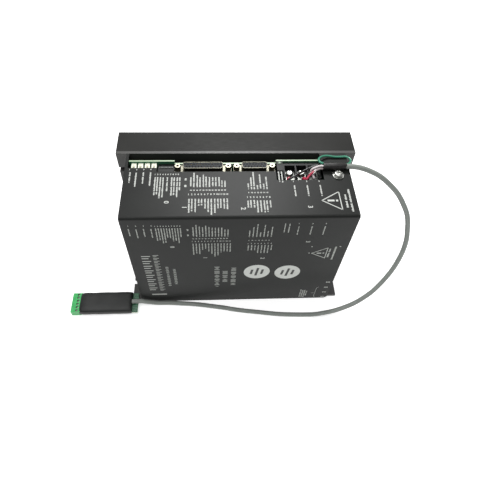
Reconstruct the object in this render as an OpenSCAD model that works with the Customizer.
// Panel-mount servo drive on an L-shaped chassis, standing on its foot, connector face up,
// with a cable from the motor terminals to a sleeved in-line adapter board.
// Origin: centre of the footprint, at the underside of the foot. X runs along the unit,
// Y from the front face to the heat sink, Z up. Millimetres.

/* [Chassis] */
// Length of the foot, back plate and heat sink
chassis_len = 230; // [226:1:300]
// Height from the foot to the connector face
unit_h = 153; // [125:1:220]
// Depth of the cover in front of the back plate
cover_depth = 77.5; // [64:0.5:110]
// Thickness of the L-shaped plate
plate_t = 3.2; // [2.6:0.1:4.5]
// Depth of the heat sink, base and fins together
sink_depth = 26.3; // [18:0.1:45]
// Width of the tab that each end of the plate leaves outside the cover
end_tab = 10.5; // [8:0.5:14]
// Width of the open mounting slots
slot_w = 5.5; // [4.8:0.1:6.5]
// Distance of the back slots from the plate's top and bottom edges
slot_inset = 21; // [16:1:30]
// Distance between the two slots at each end of the foot
foot_slot_pitch = 40; // [30:1:50]

/* [Heat sink] */
// Thickness of the heat sink's base
sink_base_t = 6; // [4:0.5:9]
// Number of fins
fin_count = 12; // [6:1:16]
// Thickness of one fin
fin_t = 2.8; // [2:0.1:4]

/* [Cover] */
// Thickness of the cover's sheet
sheet_t = 1.6; // [1:0.1:2]
// Outside radius of the fold along the front
fold_r = 2.6; // [2.2:0.1:5]
// Front edge of the opening at the trimmers, measured from the back plate
open_trim_depth = 18.5; // [18.5:0.5:21]
// Front edge of the opening at the connectors, measured from the back plate
open_conn_depth = 23.5; // [23:0.5:27]
// Front edge of the opening at the motor terminals, measured from the back plate
open_motor_depth = 34.5; // [33:0.5:37]

/* [Board] */
// Length of the standoffs between back plate and board
standoff_len = 8.35; // [7.5:0.05:8.5]
// Thickness of the circuit board
board_t = 1.6; // [1:0.1:2.4]

/* [Connectors] */
// Length of the flange of the 25-way connector
flange_25 = 53; // [52:0.5:54]
// Distance between the jackscrews of the 25-way connector
jack_25 = 47.04; // [46.5:0.02:47.5]
// Length of the shell of the 25-way connector
shell_25 = 38.3; // [38:0.1:39]
// Length of the flange of the 15-way connector
flange_15 = 39.2; // [38.5:0.1:40]
// Distance between the jackscrews of the 15-way connector
jack_15 = 33.32; // [33:0.02:33.8]
// Length of the shell of the 15-way connector
shell_15 = 25; // [24.5:0.1:25.3]
// Radius of the thread inside a jackscrew
jack_thread_r = 1.2; // [1:0.05:1.45]

/* [Terminals] */
// Distance between two poles of the barrier blocks
pole_pitch = 11.1; // [10.6:0.1:12]
// Number of poles of the power block
power_poles = 4; // [3:1:5]

/* [Controls] */
// Distance between two trimmers
trimmer_pitch = 6.2; // [5.4:0.05:6.4]
// Number of sliders in the small switch
slider_count = 10; // [4:1:10]
// Travel of one slider
slider_travel = 1; // [0.6:0.1:1.2]

/* [Cable] */
// Diameter of the grey cable
cable_d = 5; // [4:0.1:5]
// Length of the sleeve on the adapter board
adapter_sleeve_len = 55; // [48:1:58]

/* [Hidden] */
$fn = 48;

// Small overlap that makes cuts pass cleanly through a face
cut = 1;
// Radial clearance of a screw in its thread or hole
fit_gap = 0.05;

// ---- Frame ----
unit_depth = cover_depth + plate_t + sink_depth;
y_front = -unit_depth / 2;
y_plate = y_front + cover_depth;
y_sink = y_plate + plate_t;
half_len = chassis_len / 2;
half_cover = half_len - end_tab;
foot_front_gap = 0.5;
// Bevel inside the bend between foot and back plate
bend_r = 2;
y_foot = y_front + sheet_t + foot_front_gap;

// ---- Mounting slots ----
slot_r = slot_w / 2;
foot_slot_y = [y_front + 24, y_front + 24 + foot_slot_pitch];
back_slot_z = [slot_inset, unit_h - slot_inset];

// ---- Cover screw and the ear that it holds ----
cover_screw_x = half_cover - 12.1;
cover_screw_y = y_plate - 29.5;
cover_screw_r = 2;
cover_head_r = 4;
cover_head_h = 2.8;
washer_r = 5.2;
washer_t = 1;
ear_w = 15;
ear_len = 36;
ear_t = 3;
ear_top = unit_h - sheet_t;

// ---- Screws under the foot ----
lip_w = 11;
foot_screw_r = 1.45;
foot_screw_head_r = 2.9;
foot_screw_x = half_cover - sheet_t - 6;
foot_screw_y = [y_front + 14, y_plate - 14];

// ---- Heat sink screws ----
sink_screw_r = 1.9;
sink_screw_head_r = 3.6;
sink_screw_head_h = 2.4;
sink_screw_reach = 4;
sink_screw_x = [-half_cover + 14, 0, half_cover - 14];
sink_screw_z = [26, unit_h - 30];

// ---- Board ----
y_board_back = y_plate - standoff_len;
y_board = y_board_back - board_t;
board_low = 9;
board_high = unit_h - 0.5;
board_mid = unit_h - 4;
board_ear_top = ear_top - ear_t - 4;
board_left = -half_cover + 2.9;
board_right = half_cover - 4.5;
hole_inset = 6;
board_hole_low = board_low + hole_inset;
board_hole_high = board_ear_top - 14;
board_screw_r = 1.45;

// ---- Row of controls and connectors, from the left end of the cover ----
row_left = -half_cover + 2.5;
opening_left = -half_cover + 2.5;
trimmer_w = 4.5;
trimmer_d = 9.6;
trimmer_h = 10;
trimmer_top = unit_h - 2.7;
trimmer_x = row_left + 5;
trimmer_head_r = 1.1;
trimmer_head_h = 1.2;
trimmer_seat = 1;
trimmer_screw_y = y_board - 4.4;

switch_w = 14.6;
switch_d = 12.1;
switch_h = 8;
switch_top = unit_h - 2.7;
switch_step = 1.3;
switch_step_d = 5;
switch_x = row_left + 27.6 + switch_w / 2;
slider_pitch = 1.27;
slider_w = 0.6;
slider_len = 1.2;
slider_h = 2.1;
slider_proud = 0.7;
slider_gap = 0.08;
slider_slot_len = slider_len + slider_travel + 2 * slider_gap;
slider_y = y_board - 6.5;

flange_w = 12.5;
flange_t = 1;
flange_top = unit_h - 5;
shell_w = 7.9;
shell_h = 6;
shell_t = 0.5;
shell_corner = 2.2;
shell_slope = 10;
conn_y = y_board - flange_w / 2;
conn_25_x = row_left + 69.2;
conn_15_x = conn_25_x + flange_25 / 2 + 2 + flange_15 / 2;
socket_pitch = 2.77;
socket_row = 1.42;
socket_r = 0.6;
socket_depth = 5;
contact_wall = 0.15;
insulator_rear_h = 8;
insulator_rear_w = 11;

jack_across = 4.8;
jack_h = 5.3;
jack_stud_r = 1.38;
jack_stud_len = 5.5;
bracket_w = 4.6;
bracket_h = 6;

// ---- Barrier blocks: local frame has the row along X, screws up, board at the +Y side ----
pole_rib = 1.6;
block_depth = 20.5;
block_base_h = 8.5;
block_rib_h = 14.5;
block_back_t = 4;
term_plate_t = 1;
term_plate_len = 14;
term_screw_y = -10.85;
term_screw_r = 1.7;
term_head_r = 3.4;
term_head_h = 2.4;
term_screw_len = 6;
lug_t = 0.8;
lug_r = 3.6;
motor_poles = 3;
motor_block_len = motor_poles * pole_pitch + pole_rib;
power_block_len = power_poles * pole_pitch + pole_rib;
motor_x = half_cover - 44.7;
motor_z = unit_h - 17;
opening_right = motor_x + motor_block_len / 2 + 1.6;
power_x = half_cover - 15;
power_z = plate_t + sheet_t + 1 + power_block_len / 2;
power_cut_front = 3.5;

// Places of the board's standoffs, X and Z
board_holes = [
    [board_left + hole_inset, board_hole_low], [board_left + 110, board_hole_low],
    [power_x - 7, board_hole_low], [board_left + hole_inset, board_hole_high],
    [board_left + 110, board_hole_high], [board_right - hole_inset, board_hole_high]
];

led_w = 5.6;
led_d = 12;
led_h = 8.8;
led_x = motor_x - motor_block_len / 2 - 3.1;
led_y = y_board - 2.6;
led_top = unit_h - 0.7;
led_r = 1.5;

// ---- Leads, cable and adapter ----
lead_r = 1;
lead_sides = 8;
cable_sides = 8;

// How far the motor terminals, the unit's ends and its front lie from the drawn routes' own
near_motor = [motor_x - 59.8, y_board - 14.05, unit_h - 153];
end_shift = half_len - 115;
front_shift = y_front + 53.5;

// Leads move with the motor terminals, and the cable's low part with the unit's front
function with_motor(route) = [for (p = route) p + near_motor];
function share(v) = max(0, min(1, v));
function cable_point(p) = let (up = share((p[2] - 10) / 140))
    [p[0] + share((p[0] + 7.5) / 107.5) * near_motor[0] - share(-(p[0] + 7.5) / 107.5) * end_shift,
     p[1] + up * near_motor[1] + (1 - up) * front_shift,
     p[2] + up * near_motor[2] + share(-(p[0] + 90) / 15) * (plate_t - 3.2)];

sleeve_left = [79, 2.8, 156.8] + near_motor;
sleeve_right = [100, 2.5, 156.9] + near_motor;

// Route of the cable from the breakout sleeve to the adapter
cable_route = [for (p = [
    [100, 2.5, 156.9], [107, 2.4, 156.5], [115, 2, 155.2], [124, 0.5, 152.5],
    [134.5, -2, 148], [145.5, -6, 140.5], [156.5, -11, 130.5], [166.5, -18.5, 116.5],
    [170.5, -23.5, 107], [172.5, -28.5, 97], [173.5, -34, 87], [172.5, -39.5, 76],
    [169.5, -45, 66], [165, -50.5, 55], [158, -56.5, 44], [149, -62.5, 33],
    [140.5, -66.5, 25.5], [130.5, -70, 18.5], [120, -72.5, 13.5], [109, -74.5, 9.5],
    [98, -75.5, 6.5], [87, -76, 4.2], [76, -75.5, 2.9], [65, -75, 2.6], [54, -74.5, 2.6],
    [43, -73.5, 2.6], [32, -72, 2.6], [21, -70.5, 2.6], [10, -69, 2.6], [-2, -67, 2.6],
    [-14, -64.5, 2.6], [-26, -62.5, 2.6], [-38, -60.5, 2.6], [-50, -59, 2.6],
    [-62, -58, 2.6], [-74, -57, 2.6], [-86, -56.8, 2.7], [-96, -56.8, 5],
    [-105, -56.8, 7.6], [-115, -57, 8]
]) cable_point(p)];

// Routes of the leads from their lugs to the breakout sleeve
red_route = with_motor([
    [62.2, -8.9, 150.5], [63, -8.4, 151.8], [65.3, -5.9, 153.6], [68.2, -3.6, 155],
    [71.7, -1.2, 155.8], [75.7, 0.8, 155.8], [79, 1.4, 155.2]
]);
white_route = with_motor([
    [69.9, -6.4, 150.4], [69.8, -5.8, 151.2], [68.8, -3, 152], [67.8, -1, 153.2],
    [67.8, -0.2, 155.2], [69.4, 0.2, 156.8], [72.2, 0.8, 157.8], [75.6, 1.6, 158.2],
    [79, 1.8, 158]
]);
black_route = with_motor([
    [46.1, -8.4, 150.6], [46.6, -8.4, 151.6], [48.8, -7.4, 152.6], [52, -5.4, 153],
    [56, -2.6, 153], [61, 0.6, 153], [66, 3.4, 153.4], [71, 5.4, 154.2],
    [75, 5.6, 155], [79, 4.8, 155.6]
]);
green_route = with_motor([
    [79, 4.6, 158.6], [76.4, 5.4, 159.2], [75.2, 8, 159], [76, 11.4, 158],
    [78.9, 15, 156.8], [83, 17.4, 155.6], [88, 18, 154.8], [93, 17.4, 154.4],
    [98.4, 17.4, 154.4], [103.4, 17.6, 154.4], [106.6, 15.4, 154.4], [107.2, 12, 154.6],
    [105.6, 8.8, 155], [103, 6.8, 155.2], [100, 5.6, 155.2]
]);

// Where each lug's barrel starts above its plate and where its lead leaves it
lug_tips = with_motor([[46.1, -8.4, 150.6], [62.2, -8.9, 150.5], [69.9, -6.4, 150.4]]);

adapter_y = y_front - 3.5;
adapter_right = 6.5 - half_len;
adapter_board_z = plate_t + 0.4;
adapter_board_w = 23.5;
adapter_sleeve_x1 = -half_len;
adapter_sleeve_x0 = adapter_sleeve_x1 - adapter_sleeve_len;
adapter_sleeve_w = 25;
adapter_sleeve_h = 10.5;
adapter_ways = 6;
adapter_pitch = 3.81;
adapter_screw_r = 1.4;
adapter_block_l = 10;
adapter_block_h = 8.5;
adapter_block_x = adapter_sleeve_x0 - adapter_block_l / 2;

// ---- Parts inside ----
cap_r = 15;
cap_len = 48;
cap_x = [-78, -44, -10];
cap_z = board_low + 48;
device_w = 15.8;
device_h = 20;
device_t = 5;
pad_t = 0.3;
device_x = [-66, -44, -22, 22, 44, 66];
device_z = 36;
rectifier_w = 30;
rectifier_h = 20;
transformer_w = 34;
sensor_w = 14;
chip_w = 14;

// A convex outline with its corners rounded by arcs
function corner_arc(a, b, c, r, n) =
    let (u = (a - b) / norm(a - b), v = (c - b) / norm(c - b))
    let (half = acos(max(-1, min(1, u * v))) / 2)
    let (o = b + (u + v) / norm(u + v) * r / sin(half))
    let (start = b + u * r / tan(half) - o, finish = b + v * r / tan(half) - o)
    let (a0 = atan2(start[1], start[0]), turn = atan2(finish[1], finish[0]) - a0)
    let (sweep = turn > 180 ? turn - 360 : turn < -180 ? turn + 360 : turn)
    [for (i = [0:n]) o + r * [cos(a0 + sweep * i / n), sin(a0 + sweep * i / n)]];
function rounded_outline(pts, r, n = 4) =
    let (m = len(pts))
    [for (k = [0:m - 1]) each corner_arc(pts[(k + m - 1) % m], pts[k], pts[(k + 1) % m], r, n)];

// A tube swept along a route, one ring at each point
function unit(v) = v / norm(v);
function route_dir(p, i) = unit(p[min(i + 1, len(p) - 1)] - p[max(i - 1, 0)]);
function across(d, up) = unit(up - (up * d) * d);
function carry(p, i) = i == 0 ? across(route_dir(p, 0), [0.1, 0.2, 1])
    : across(route_dir(p, i), carry(p, i - 1));
module swept_tube(p, r, sides) {
    n = len(p);
    points = [for (i = [0:n - 1])
        let (d = route_dir(p, i), u = carry(p, i), w = cross(d, u))
        for (k = [0:sides - 1])
            p[i] + r * (cos(k * 360 / sides) * u + sin(k * 360 / sides) * w)];
    sides_faces = [for (i = [0:n - 2]) for (k = [0:sides - 1])
        [i * sides + k, (i + 1) * sides + k, (i + 1) * sides + (k + 1) % sides,
         i * sides + (k + 1) % sides]];
    first_cap = [for (k = [0:sides - 1]) k];
    last_cap = [for (k = [0:sides - 1]) (n - 1) * sides + sides - 1 - k];
    polyhedron(points, concat([first_cap], sides_faces, [last_cap]), convexity = 10);
}

// A cylinder between two points
module rod(a, b, r) {
    d = b - a;
    translate(a)
        rotate([0, acos(d[2] / norm(d)), atan2(d[1], d[0])])
            cylinder(r = r, h = norm(d));
}

// A box from its low corner to its high corner
module box(a, b) {
    translate(a) cube(b - a);
}

// A profile in Y and Z, drawn along X over the given length about the centre
module along_x(len) {
    translate([-len / 2, 0, 0])
        rotate([90, 0, 90])
            linear_extrude(len) children();
}

// An open-ended slot cut, entering from the end at +X, running through along Z
module open_slot(inner_x, outer_x, r, h) {
    translate([inner_x + r, 0, 0]) cylinder(r = r, h = h);
    translate([inner_x + r, -r, 0]) cube([outer_x - inner_x - r, 2 * r, h]);
}

// The same slots at both ends of the unit, at the back, through plate and heat sink
module back_slots(y0, y1) {
    for (side = [0, 1], z = back_slot_z)
        mirror([side, 0, 0])
            translate([0, y1, z])
                rotate([90, 0, 0])
                    open_slot(half_cover, half_len + cut, slot_r, y1 - y0);
}

// A cross recess pressed into a screw head
module cross_recess(r, depth) {
    arm = r * 0.28;
    for (a = [0, 90])
        rotate([0, 0, a])
            translate([-r * 0.6, -arm / 2, -depth])
                cube([r * 1.2, arm, depth + cut]);
}

// A pan-head screw, head on z = 0, shank downwards
module pan_screw(shank_r, shank_len, head_r, head_h) {
    difference() {
        union() {
            translate([0, 0, -shank_len]) cylinder(r = shank_r, h = shank_len + head_h / 2);
            rotate_extrude()
                polygon([[0, 0], [head_r, 0], [head_r, head_h * 0.55],
                    [head_r * 0.88, head_h * 0.85], [head_r * 0.6, head_h], [0, head_h]]);
        }
        translate([0, 0, head_h]) cross_recess(head_r, head_h * 0.5);
    }
}

module chassis() {
    color("dimgray")
    difference() {
        union() {
            along_x(chassis_len)
                polygon([[y_foot, 0], [y_sink, 0], [y_sink, unit_h], [y_plate, unit_h],
                    [y_plate, plate_t + bend_r], [y_plate - bend_r, plate_t], [y_foot, plate_t]]);
            box([cover_screw_x - ear_w / 2, y_plate - ear_len, ear_top - ear_t],
                [cover_screw_x + ear_w / 2, y_plate + cut, ear_top]);
        }
        for (side = [0, 1], y = foot_slot_y)
            mirror([side, 0, 0])
                translate([0, y, -cut])
                    open_slot(half_cover, half_len + cut, slot_r, plate_t + 2 * cut);
        back_slots(y_plate - cut, y_sink + cut);
        translate([cover_screw_x, cover_screw_y, ear_top - ear_t - cut])
            cylinder(r = cover_screw_r + fit_gap, h = ear_t + 2 * cut);
        for (side = [-1, 1], y = foot_screw_y)
            translate([side * foot_screw_x, y, 0]) {
                translate([0, 0, -cut]) cylinder(r = foot_screw_r + 2 * fit_gap, h = plate_t + 2 * cut);
                translate([0, 0, -0.01])
                    cylinder(r1 = foot_screw_head_r + fit_gap, r2 = foot_screw_r + fit_gap, h = 1.8);
            }
        for (x = sink_screw_x, z = sink_screw_z)
            translate([x, y_sink + cut, z])
                rotate([90, 0, 0]) cylinder(r = sink_screw_r + 2 * fit_gap, h = plate_t + 2 * cut);
    }
}

module heat_sink() {
    fin_step = (unit_h - fin_t) / (fin_count - 1);
    color([0.2, 0.2, 0.2])
    difference() {
        along_x(chassis_len) {
            translate([y_sink, 0]) square([sink_base_t, unit_h]);
            for (i = [0:fin_count - 1])
                translate([y_sink + sink_base_t - 0.01, i * fin_step])
                    square([sink_depth - sink_base_t + 0.01, fin_t]);
        }
        back_slots(y_sink - cut, y_sink + sink_depth + cut);
        for (x = sink_screw_x, z = sink_screw_z)
            translate([x, y_sink + sink_screw_reach + 0.5, z])
                rotate([90, 0, 0])
                    cylinder(r = sink_screw_r + fit_gap, h = sink_screw_reach + 0.5 + cut);
    }
}

module heat_sink_screws() {
    color("silver")
    for (x = sink_screw_x, z = sink_screw_z)
        translate([x, y_plate, z])
            rotate([90, 0, 0])
                pan_screw(sink_screw_r, plate_t + sink_screw_reach, sink_screw_head_r,
                    sink_screw_head_h);
}

// Outline of the opening in the connector face
module face_opening() {
    trim_right = switch_x - switch_w / 2 - 0.9;
    motor_left = led_x - led_w / 2 - 1.6;
    polygon([[opening_left, y_plate + cut], [opening_left, y_plate - open_trim_depth],
        [trim_right, y_plate - open_trim_depth], [trim_right, y_plate - open_conn_depth],
        [motor_left, y_plate - open_conn_depth], [motor_left, y_plate - open_motor_depth],
        [opening_right, y_plate - open_motor_depth], [opening_right, y_plate + cut]]);
}

module cover() {
    inner_r = fold_r - sheet_t;
    corner_cut = 3;
    color([0.22, 0.22, 0.22])
    difference() {
        union() {
            difference() {
                along_x(2 * half_cover)
                    union() {
                        translate([y_front + fold_r, unit_h - sheet_t])
                            square([cover_depth - fold_r, sheet_t]);
                        translate([y_front, 0]) square([sheet_t, unit_h - fold_r]);
                        translate([y_front + fold_r, unit_h - fold_r])
                            difference() {
                                circle(r = fold_r);
                                circle(r = inner_r);
                                translate([-2 * fold_r, -2 * fold_r]) square([4 * fold_r, 2 * fold_r]);
                                translate([0, -2 * fold_r]) square([2 * fold_r, 4 * fold_r]);
                            }
                    }
                translate([0, 0, unit_h - sheet_t - cut])
                    linear_extrude(sheet_t + 2 * cut) face_opening();
                for (side = [-1, 1])
                    translate([side * half_cover, y_front - cut, 0])
                        rotate([0, 45, 0])
                            cube([corner_cut * 1.4, 4 * sheet_t + 2 * cut, corner_cut * 1.4],
                                center = true);
            }
            for (side = [0, 1])
                mirror([side, 0, 0]) {
                    translate([half_cover - sheet_t / 2, 0, 0])
                        along_x(sheet_t)
                            polygon([[y_front + sheet_t - 0.01, plate_t],
                                [y_plate - bend_r - 0.2, plate_t],
                                [y_plate, plate_t + bend_r + 0.2],
                                [y_plate, unit_h - sheet_t + 0.01],
                                [y_front + fold_r, unit_h - sheet_t + 0.01],
                                [y_front + fold_r, unit_h - fold_r],
                                [y_front + sheet_t - 0.01, unit_h - fold_r]]);
                    box([half_cover - sheet_t - lip_w, y_front + sheet_t + 3, plate_t],
                        [half_cover - sheet_t + 0.01, y_plate - 4, plate_t + sheet_t]);
                }
        }
        translate([cover_screw_x, cover_screw_y, unit_h - sheet_t - cut])
            cylinder(r = cover_screw_r + 0.3, h = sheet_t + 2 * cut);
        for (side = [-1, 1], y = foot_screw_y)
            translate([side * foot_screw_x, y, plate_t - cut])
                cylinder(r = foot_screw_r + fit_gap, h = sheet_t + 2 * cut);
        box([half_cover - sheet_t - cut, y_board - block_depth - power_cut_front,
                power_z - power_block_len / 2 - 0.6],
            [half_cover + cut, y_board + 0.5, power_z + power_block_len / 2 + 0.6]);
    }
}

module cover_screw() {
    color("silver")
    translate([cover_screw_x, cover_screw_y, unit_h + washer_t])
        pan_screw(cover_screw_r, 8, cover_head_r, cover_head_h);
}

module cover_washer() {
    color("lightgray")
    translate([cover_screw_x, cover_screw_y, unit_h])
        difference() {
            cylinder(r = washer_r, h = washer_t);
            translate([0, 0, -cut]) cylinder(r = cover_screw_r + 0.2, h = washer_t + 2 * cut);
        }
}

module cover_foot_screws() {
    color("silver")
    for (side = [-1, 1], y = foot_screw_y)
        translate([side * foot_screw_x, y, 0.1])
            difference() {
                union() {
                    cylinder(r1 = foot_screw_head_r - 0.15, r2 = foot_screw_r, h = 1.6);
                    cylinder(r = foot_screw_r, h = plate_t + sheet_t + 0.4);
                }
                rotate([180, 0, 0]) cross_recess(foot_screw_head_r, 1);
            }
}

module main_board() {
    step_left = switch_x + switch_w / 2 + 0.4;
    step_right = led_x - led_w / 2 - 0.4;
    color("darkgreen")
    difference() {
        translate([0, y_board_back, 0])
            rotate([90, 0, 0])
                linear_extrude(board_t)
                    polygon([[board_left, board_low], [board_right, board_low],
                        [board_right, board_ear_top], [opening_right - 0.6, board_ear_top],
                        [opening_right - 0.6, board_high], [step_right, board_high],
                        [step_right, board_mid], [step_left, board_mid],
                        [step_left, board_high], [board_left, board_high]]);
        for (h = board_holes)
            translate([h[0], y_board_back + cut, h[1]])
                rotate([90, 0, 0]) cylinder(r = board_screw_r + 2 * fit_gap, h = board_t + 2 * cut);
    }
}

module board_standoffs() {
    color("gold")
    for (h = board_holes)
        translate([h[0], y_plate, h[1]])
            rotate([90, 0, 0])
                difference() {
                    cylinder(r = 3, h = standoff_len, $fn = 6);
                    translate([0, 0, 1.5])
                        cylinder(r = board_screw_r + fit_gap, h = standoff_len);
                }
}

module board_screws() {
    color("silver")
    for (h = board_holes)
        translate([h[0], y_board, h[1]])
            rotate([90, 0, 0]) pan_screw(board_screw_r, board_t + 4, 2.7, 1.9);
}

module trimmer_bodies() {
    color("ivory")
    for (i = [0:3])
        translate([trimmer_x + i * trimmer_pitch, y_board, trimmer_top])
            difference() {
                box([-trimmer_w / 2, -trimmer_d, -trimmer_h], [trimmer_w / 2, 0, 0]);
                translate([0, trimmer_screw_y - y_board, -trimmer_seat])
                    cylinder(r = trimmer_head_r + fit_gap, h = trimmer_seat + cut);
            }
}

module trimmer_screw(i) {
    color("goldenrod")
    translate([trimmer_x + i * trimmer_pitch, trimmer_screw_y, trimmer_top])
        difference() {
            translate([0, 0, -trimmer_seat + fit_gap])
                cylinder(r = trimmer_head_r, h = trimmer_head_h + trimmer_seat - fit_gap);
            box([-trimmer_head_r - cut, -0.25, trimmer_head_h - 0.7],
                [trimmer_head_r + cut, 0.25, trimmer_head_h + cut]);
        }
}
module trimmer_screw_1() { trimmer_screw(0); }
module trimmer_screw_2() { trimmer_screw(1); }
module trimmer_screw_3() { trimmer_screw(2); }
module trimmer_screw_4() { trimmer_screw(3); }

module switch_body() {
    color([0.12, 0.12, 0.12])
    translate([switch_x, y_board, switch_top])
        difference() {
            box([-switch_w / 2, -switch_d, -switch_h], [switch_w / 2, 0, 0]);
            box([-switch_w / 2 - cut, -switch_step_d, -switch_step],
                [switch_w / 2 + cut, cut, cut]);
            for (i = [0:slider_count - 1])
                translate([(i - (slider_count - 1) / 2) * slider_pitch,
                        slider_y - y_board - slider_slot_len / 2, 0])
                    box([-slider_w / 2 - slider_gap, 0, -slider_h + slider_proud - slider_gap],
                        [slider_w / 2 + slider_gap, slider_slot_len, cut]);
        }
}

// A slider rests against the board's end of its slot
module switch_slider(i) {
    color("whitesmoke")
    if (i < slider_count)
        translate([switch_x + (i - (slider_count - 1) / 2) * slider_pitch,
                slider_y + slider_slot_len / 2 - slider_gap, switch_top])
            box([-slider_w / 2, -slider_len, -slider_h + slider_proud],
                [slider_w / 2, 0, slider_proud]);
}
module switch_slider_1() { switch_slider(0); }
module switch_slider_2() { switch_slider(1); }
module switch_slider_3() { switch_slider(2); }
module switch_slider_4() { switch_slider(3); }
module switch_slider_5() { switch_slider(4); }
module switch_slider_6() { switch_slider(5); }
module switch_slider_7() { switch_slider(6); }
module switch_slider_8() { switch_slider(7); }
module switch_slider_9() { switch_slider(8); }
module switch_slider_10() { switch_slider(9); }

module led_holder() {
    color([0.1, 0.1, 0.1])
    difference() {
        box([led_x - led_w / 2, y_board - led_d, led_top - led_h],
            [led_x + led_w / 2, y_board, led_top]);
        translate([led_x, led_y, led_top - 3]) cylinder(r = led_r + fit_gap, h = 3 + cut);
    }
}

module status_led() {
    color("palegreen")
    translate([led_x, led_y, led_top - 3]) {
        cylinder(r = led_r, h = 3);
        translate([0, 0, 3])
            intersection() {
                sphere(r = led_r);
                cylinder(r = led_r, h = led_r);
            }
    }
}

// The D outline of a connector, wide side towards the board
function d_outline(len, w, r) =
    let (narrow = len / 2 - w * tan(shell_slope))
    rounded_outline([[-narrow, -w / 2], [narrow, -w / 2], [len / 2, w / 2], [-len / 2, w / 2]], r);

module connector_shell(len, flange_len, jack) {
    difference() {
        union() {
            translate([-flange_len / 2, -flange_w / 2, -flange_t])
                cube([flange_len, flange_w, flange_t]);
            linear_extrude(shell_h) polygon(d_outline(len, shell_w, shell_corner));
        }
        translate([0, 0, -flange_t - cut])
            linear_extrude(shell_h + flange_t + 2 * cut)
                polygon(d_outline(len - 2 * shell_t, shell_w - 2 * shell_t, shell_corner - shell_t));
        for (side = [-1, 1])
            translate([side * jack / 2, 0, -flange_t - cut])
                cylinder(r = jack_stud_r + 0.1, h = flange_t + 2 * cut);
    }
}

module connector_shells() {
    color("lightgray") {
        translate([conn_25_x, conn_y, flange_top]) connector_shell(shell_25, flange_25, jack_25);
        translate([conn_15_x, conn_y, flange_top]) connector_shell(shell_15, flange_15, jack_15);
    }
}

// Places its children at each socket of a connector with the given number of ways
module sockets(ways) {
    long_row = ceil(ways / 2);
    short_row = ways - long_row;
    for (i = [0:long_row - 1])
        translate([(i - (long_row - 1) / 2) * socket_pitch, socket_row, 0]) children();
    for (i = [0:short_row - 1])
        translate([(i - (short_row - 1) / 2) * socket_pitch, -socket_row, 0]) children();
}

module connector_insulator(len, ways) {
    gap = 0.02;
    difference() {
        union() {
            translate([0, 0, -flange_t])
                linear_extrude(shell_h + flange_t - 0.4)
                    polygon(d_outline(len - 2 * shell_t - 2 * gap, shell_w - 2 * shell_t - 2 * gap,
                        shell_corner - shell_t));
            box([-len / 2 + 0.6, flange_w / 2 - insulator_rear_w, -flange_t - insulator_rear_h],
                [len / 2 - 0.6, flange_w / 2, -flange_t]);
        }
        translate([0, 0, shell_h - 0.4 - socket_depth])
            sockets(ways) cylinder(r = socket_r, h = socket_depth + cut, $fn = 16);
    }
}

module connector_insulators() {
    color([0.1, 0.1, 0.12]) {
        translate([conn_25_x, conn_y, flange_top]) connector_insulator(shell_25, 25);
        translate([conn_15_x, conn_y, flange_top]) connector_insulator(shell_15, 15);
    }
}

module contact_tube() {
    translate([0, 0, shell_h - 0.4 - socket_depth])
        difference() {
            cylinder(r = socket_r - 0.02, h = socket_depth - 0.6, $fn = 16);
            translate([0, 0, 1])
                cylinder(r = socket_r - contact_wall, h = socket_depth, $fn = 16);
        }
}

module connector_contacts() {
    color("gold") {
        translate([conn_25_x, conn_y, flange_top]) sockets(25) contact_tube();
        translate([conn_15_x, conn_y, flange_top]) sockets(15) contact_tube();
    }
}

// Places its children at both jackscrews of both connectors, on the flanges
module at_jackscrews() {
    for (c = [[conn_25_x, jack_25], [conn_15_x, jack_15]], side = [-1, 1])
        translate([c[0] + side * c[1] / 2, conn_y, flange_top]) children();
}

module connector_brackets() {
    color("gainsboro")
    at_jackscrews()
        difference() {
            box([-bracket_w / 2, -flange_w / 2 + 1, -flange_t - bracket_h],
                [bracket_w / 2, flange_w / 2, -flange_t]);
            translate([0, 0, -flange_t - bracket_h - cut])
                cylinder(r = jack_stud_r + fit_gap, h = bracket_h + 2 * cut);
        }
}

module jackscrews() {
    color("silver")
    at_jackscrews()
        difference() {
            union() {
                cylinder(r = jack_across / 2 / cos(30), h = jack_h, $fn = 6);
                translate([0, 0, -jack_stud_len]) cylinder(r = jack_stud_r, h = jack_stud_len + 1);
            }
            translate([0, 0, 0.8]) cylinder(r = jack_thread_r, h = jack_h);
        }
}

// Barrier block: origin at the middle of the row, at the board, at the underside of the base
module barrier_block(poles) {
    half = poles * pole_pitch / 2;
    difference() {
        union() {
            box([-half - pole_rib / 2, -block_depth, 0], [half + pole_rib / 2, 0, block_base_h]);
            box([-half - pole_rib / 2, -block_back_t, block_base_h - 0.01],
                [half + pole_rib / 2, 0, block_rib_h]);
            for (i = [0:poles])
                box([-half + i * pole_pitch - pole_rib / 2, -block_depth, block_base_h - 0.01],
                    [-half + i * pole_pitch + pole_rib / 2, -block_back_t + 0.01, block_rib_h]);
        }
        at_poles(poles)
            translate([0, 0, block_base_h - term_screw_len])
                cylinder(r = term_screw_r + fit_gap, h = term_screw_len + cut);
    }
}

module at_poles(poles) {
    for (i = [0:poles - 1])
        translate([(i - (poles - 1) / 2) * pole_pitch, term_screw_y, 0]) children();
}

module terminal_plates(poles) {
    plate_w = pole_pitch - pole_rib - 0.6;
    plate_front = block_depth + term_screw_y - 1;
    at_poles(poles)
        translate([0, 0, block_base_h])
            difference() {
                box([-plate_w / 2, -plate_front, 0],
                    [plate_w / 2, term_plate_len - plate_front - 1.5, term_plate_t]);
                translate([0, 0, -cut])
                    cylinder(r = term_screw_r + fit_gap, h = term_plate_t + 2 * cut);
            }
}

// Screws clamp on whatever lies on the plate, lift above it
module terminal_screws(poles, lift) {
    at_poles(poles)
        translate([0, 0, block_base_h + term_plate_t + lift])
            pan_screw(term_screw_r, lift + term_plate_t + term_screw_len - 0.6, term_head_r,
                term_head_h);
}

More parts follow.
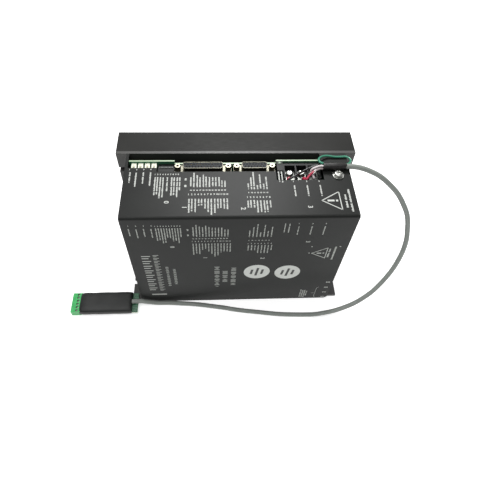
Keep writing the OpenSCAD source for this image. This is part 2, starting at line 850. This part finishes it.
module at_motor_block() {
    translate([motor_x, y_board, motor_z]) children();
}
module at_power_block() {
    translate([power_x, y_board, power_z]) rotate([0, 90, 0]) children();
}

module motor_terminal_block() {
    color([0.12, 0.12, 0.12]) at_motor_block() barrier_block(motor_poles);
}
module motor_terminal_plates() {
    color("silver") at_motor_block() terminal_plates(motor_poles);
}
module motor_terminal_screws() {
    color("lightgray") at_motor_block() terminal_screws(motor_poles, lug_t);
}
module power_terminal_block() {
    color([0.12, 0.12, 0.12]) at_power_block() barrier_block(power_poles);
}
module power_terminal_plates() {
    color("silver") at_power_block() terminal_plates(power_poles);
}
module power_terminal_screws() {
    color("lightgray") at_power_block() terminal_screws(power_poles, 0);
}

// Centre of each lug's ring, on its terminal plate
lug_centres = [for (i = [0:motor_poles - 1])
    [motor_x + (i - 1) * pole_pitch, y_board + term_screw_y,
     motor_z + block_base_h + term_plate_t]];
function lug_neck(i) = lug_centres[i] + [(lug_tips[i][0] - lug_centres[i][0]) * 0.5, -6.2, 1.3];
lug_barrel_r = 1.3;
lug_sleeve_r = 2;

// Ring, tongue and bent-up barrel of each lug
module lead_lugs() {
    color("silver")
    for (i = [0:motor_poles - 1]) {
        difference() {
            union() {
                translate(lug_centres[i]) cylinder(r = lug_r, h = lug_t);
                translate(lug_centres[i] + [0, 0, lug_t / 2])
                    rotate([0, 0, atan2(lug_neck(i)[1] - lug_centres[i][1],
                            lug_neck(i)[0] - lug_centres[i][0])])
                        translate([0, -1.4, -lug_t / 2]) cube([7.6, 2.8, lug_t]);
                rod(lug_neck(i), lug_neck(i) + 0.9 * (lug_tips[i] - lug_neck(i)), lug_barrel_r);
            }
            translate(lug_centres[i] - [0, 0, cut])
                cylinder(r = term_screw_r + fit_gap, h = lug_t + 2 * cut);
        }
    }
}

module lug_sleeves() {
    color("crimson")
    for (i = [0:motor_poles - 1]) {
        axis = lug_tips[i] - lug_neck(i);
        difference() {
            rod(lug_neck(i) + 0.25 * axis, lug_tips[i], lug_sleeve_r);
            rod(lug_neck(i), lug_neck(i) + 0.91 * axis, lug_barrel_r + 0.01);
        }
    }
}

module red_lead() {
    color("red") swept_tube(red_route, lead_r, lead_sides);
}
module white_lead() {
    color("white") swept_tube(white_route, lead_r, lead_sides);
}
module black_lead() {
    color([0.08, 0.08, 0.08]) swept_tube(black_route, lead_r, lead_sides);
}
module green_lead() {
    color("mediumseagreen") swept_tube(green_route, lead_r, lead_sides);
}

module breakout_sleeve() {
    color([0.1, 0.1, 0.1]) rod(sleeve_left, sleeve_right, 3.8);
}

module cable() {
    color("darkgray") swept_tube(cable_route, cable_d / 2, cable_sides);
}

module adapter_board() {
    color("teal")
    box([adapter_sleeve_x0 + 2, adapter_y - adapter_board_w / 2, adapter_board_z],
        [adapter_right, adapter_y + adapter_board_w / 2, adapter_board_z + board_t]);
}

// Heat-shrink sleeve: flat, round at its long edges, with the board's slot through it
module adapter_sleeve() {
    r = adapter_sleeve_h / 2;
    color([0.13, 0.13, 0.13])
    difference() {
        union() {
            for (side = [-1, 1])
                translate([adapter_sleeve_x0, adapter_y + side * (adapter_sleeve_w / 2 - r), r])
                    rotate([0, 90, 0]) cylinder(r = r, h = adapter_sleeve_len);
            box([adapter_sleeve_x0, adapter_y - adapter_sleeve_w / 2 + r, 0],
                [adapter_sleeve_x1, adapter_y + adapter_sleeve_w / 2 - r, adapter_sleeve_h]);
        }
        box([adapter_sleeve_x0 + 2, adapter_y - adapter_board_w / 2, adapter_board_z],
            [adapter_sleeve_x1 + cut, adapter_y + adapter_board_w / 2, adapter_board_z + board_t]);
    }
}

module adapter_terminal_block() {
    half = adapter_ways * adapter_pitch / 2;
    color("limegreen")
    translate([adapter_block_x, adapter_y, 0])
        difference() {
            box([-adapter_block_l / 2, -half, 0.2], [adapter_block_l / 2, half, adapter_block_h]);
            for (i = [0:adapter_ways - 1])
                translate([0, (i - (adapter_ways - 1) / 2) * adapter_pitch, 0]) {
                    translate([1.2, 0, adapter_block_h - 5])
                        cylinder(r = adapter_screw_r + fit_gap, h = 5 + cut);
                    box([-adapter_block_l / 2 - cut, -1.2, 2], [-1.6, 1.2, 4.8]);
                }
        }
}

module adapter_terminal_screws() {
    color("silver")
    for (i = [0:adapter_ways - 1])
        translate([adapter_block_x + 1.2, adapter_y + (i - (adapter_ways - 1) / 2) * adapter_pitch,
                adapter_block_h - 5])
            difference() {
                cylinder(r = adapter_screw_r, h = 3.4);
                box([-2, -0.3, 2.6], [2, 0.3, 5]);
            }
}

module bus_capacitors() {
    color([0.15, 0.2, 0.3])
    for (x = cap_x)
        translate([x, y_board, cap_z])
            rotate([90, 0, 0])
                rotate_extrude()
                    polygon([[0, 0], [cap_r, 0], [cap_r, 3], [cap_r - 0.8, 4], [cap_r, 5],
                        [cap_r, cap_len - 0.8], [cap_r - 0.8, cap_len], [0, cap_len]]);
}

// Flat-pack transistors on their pads, three legs each bent to the board
module power_transistors() {
    color([0.1, 0.1, 0.1])
    for (x = device_x)
        translate([x, y_plate - pad_t, device_z]) {
            box([-device_w / 2, -device_t, 0], [device_w / 2, 0, device_h]);
            for (leg = [-5.4, 0, 5.4])
                box([leg - 0.6, -(standoff_len - pad_t), device_h - 0.01],
                    [leg + 0.6, -2.4, device_h + 1.2]);
        }
}

module insulator_pads() {
    color("lightsteelblue")
    for (x = device_x)
        box([x - device_w / 2 - 1, y_plate - pad_t, device_z - 1],
            [x + device_w / 2 + 1, y_plate, device_z + device_h + 1]);
}

module bridge_rectifier() {
    color([0.1, 0.1, 0.1])
    translate([40, y_plate, device_z + device_h + 12]) {
        box([-rectifier_w / 2, -4.6, 0], [rectifier_w / 2, 0, rectifier_h]);
        for (i = [0:3])
            box([(i - 1.5) * 7.5 - 0.5, -standoff_len, rectifier_h - 0.01],
                [(i - 1.5) * 7.5 + 0.5, -2, rectifier_h + 1.2]);
    }
}

// Ferrite core in two halves round a wound bobbin
module supply_transformer() {
    color("saddlebrown")
    translate([34, y_board, board_low + 20]) {
        box([-transformer_w / 2, -26, 0], [transformer_w / 2, -2, 6]);
        box([-transformer_w / 2, -26, 24], [transformer_w / 2, -2, 30]);
        box([-transformer_w / 2 + 6, -28, 5.99], [transformer_w / 2 - 6, 0, 24.01]);
    }
}

module control_chips() {
    color([0.1, 0.1, 0.1])
    for (p = [[-84, unit_h - 35], [-40, unit_h - 35], [-12, unit_h - 35],
            [motor_x, motor_z - 70], [motor_x, motor_z - 44]])
        box([p[0] - chip_w / 2, y_board - 2.2, p[1] - chip_w / 2 - 8],
            [p[0] + chip_w / 2, y_board, p[1] + chip_w / 2 - 8]);
}

module current_sensors() {
    color("navy")
    for (x = [motor_x - 12, motor_x + 12])
        box([x - sensor_w / 2, y_board - 9, motor_z - 24], [x + sensor_w / 2, y_board, motor_z - 8]);
}

chassis();
heat_sink();
heat_sink_screws();
cover();
cover_screw();
cover_washer();
cover_foot_screws();
main_board();
board_standoffs();
board_screws();
trimmer_bodies();
trimmer_screw_1();
trimmer_screw_2();
trimmer_screw_3();
trimmer_screw_4();
switch_body();
switch_slider_1();
switch_slider_2();
switch_slider_3();
switch_slider_4();
switch_slider_5();
switch_slider_6();
switch_slider_7();
switch_slider_8();
switch_slider_9();
switch_slider_10();
led_holder();
status_led();
connector_shells();
connector_insulators();
connector_contacts();
connector_brackets();
jackscrews();
motor_terminal_block();
motor_terminal_plates();
motor_terminal_screws();
power_terminal_block();
power_terminal_plates();
power_terminal_screws();
lead_lugs();
lug_sleeves();
red_lead();
white_lead();
black_lead();
green_lead();
breakout_sleeve();
cable();
adapter_board();
adapter_sleeve();
adapter_terminal_block();
adapter_terminal_screws();
bus_capacitors();
power_transistors();
insulator_pads();
bridge_rectifier();
supply_transformer();
control_chips();
current_sensors();
